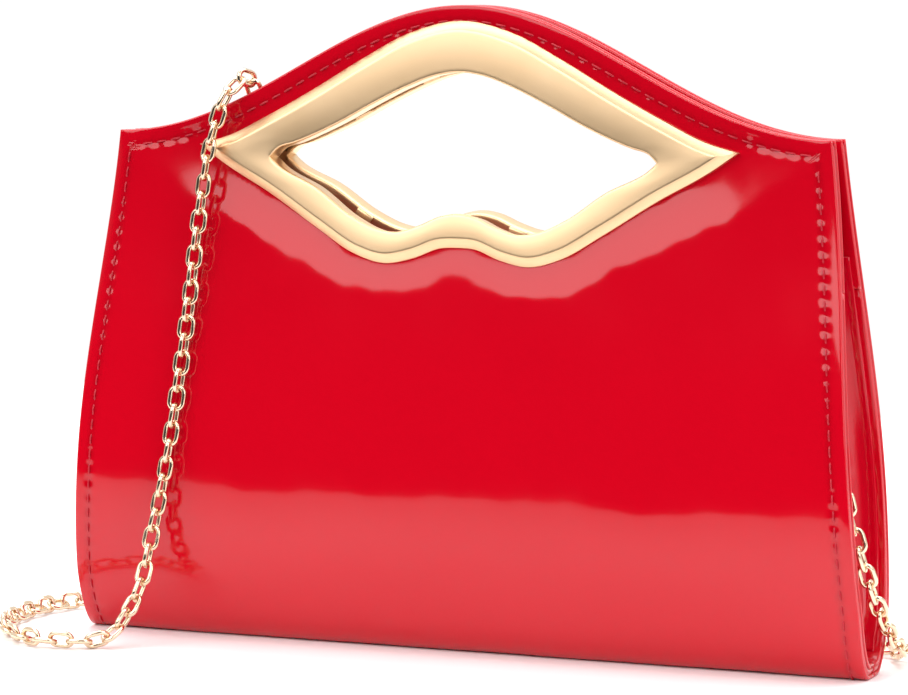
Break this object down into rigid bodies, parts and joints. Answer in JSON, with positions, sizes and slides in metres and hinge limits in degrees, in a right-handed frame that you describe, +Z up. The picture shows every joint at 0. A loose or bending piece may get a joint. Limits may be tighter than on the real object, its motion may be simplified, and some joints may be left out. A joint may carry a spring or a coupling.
{
  "type": "clutch purse",
  "caption": "Hard-sided patent leather clutch with a lip-shaped metal hand opening through both panels, folded gussets and a removable chain",
  "frame": {"origin": "on the floor, under the middle of the bag's outline, halfway between its two faces", "axes": "+X to the viewer's right along the bag's width, +Y from the front panel to the back panel, +Z up"},
  "size_m": [0.3069, 0.1532, 0.2095],
  "materials": {
    "patent_leather": "high-gloss patent",
    "tab_leather": "smooth",
    "lining_cloth": "satin twill",
    "stiffening_board": "pressed fibre board",
    "gold_plate": "polished gold plate",
    "steel": "plated",
    "chain_metal": "polished champagne gold"
  },
  "bodies": {
    "bag": {"front_leather": "patent_leather", "front_board": "stiffening_board", "front_facing": "patent_leather", "front_lining": "lining_cloth", "front_frame": "gold_plate", "front_backing_ring": "gold_plate", "base_leather": "patent_leather", "base_board": "stiffening_board", "base_lining": "lining_cloth", "gusset_left": "patent_leather", "gusset_right": "patent_leather", "snap_studs": "gold_plate", "snap_stud_washers": "steel", "chain_tab_left": "tab_leather", "chain_tab_right": "tab_leather", "chain_ring_left": "gold_plate", "chain_ring_right": "gold_plate", "clasp_hook_left": "gold_plate", "clasp_hook_right": "gold_plate", "clasp_pin_left": "steel", "clasp_pin_right": "steel", "chain": "chain_metal"},
    "back_panel": {"back_leather": "patent_leather", "back_board": "stiffening_board", "back_facing": "patent_leather", "back_lining": "lining_cloth", "back_frame": "gold_plate", "back_backing_ring": "gold_plate", "slip_pocket": "lining_cloth", "snap_sockets": "gold_plate", "snap_magnets": "steel", "snap_socket_washers": "steel"},
    "gate_left": {"clasp_gate_left": "gold_plate"},
    "gate_right": {"clasp_gate_right": "gold_plate"},
    "eye_left": {"clasp_eye_left": "gold_plate"},
    "eye_right": {"clasp_eye_right": "gold_plate"}
  },
  "joints": [
    {"name": "back_panel_swing", "type": "hinge", "parent": "bag", "child": "back_panel", "pos_m": [0, 0.0182, 0.02715], "axis": [-1, 0, 0], "range_deg": [0, 16], "deforming": ["gusset_left", "gusset_right"]},
    {"name": "clasp_gate_left_turn", "type": "hinge", "parent": "bag", "child": "gate_left", "pos_m": [-0.07327, -0.00139, 0.11334], "axis": [-0.9999, -0.0036, -0.0137], "range_deg": [0, 20], "stiffness_Nm_per_rad": 0.002, "springref_deg": -17.19},
    {"name": "clasp_gate_right_turn", "type": "hinge", "parent": "bag", "child": "gate_right", "pos_m": [0.08382, -0.00182, 0.10978], "axis": [-0.8155, 0.1657, 0.5545], "range_deg": [0, 20], "stiffness_Nm_per_rad": 0.002, "springref_deg": -17.19},
    {"name": "clasp_swivel_left", "type": "hinge", "parent": "bag", "child": "eye_left", "pos_m": [-0.07334, -0.00287, 0.11911], "axis": [-0.0142, 0.2549, 0.9669], "range_deg": [-25, 25]},
    {"name": "clasp_swivel_right", "type": "hinge", "parent": "bag", "child": "eye_right", "pos_m": [0.08683, -0.00338, 0.11467], "axis": [0.5788, 0.2335, 0.7813], "range_deg": [-25, 25]}
  ]
}
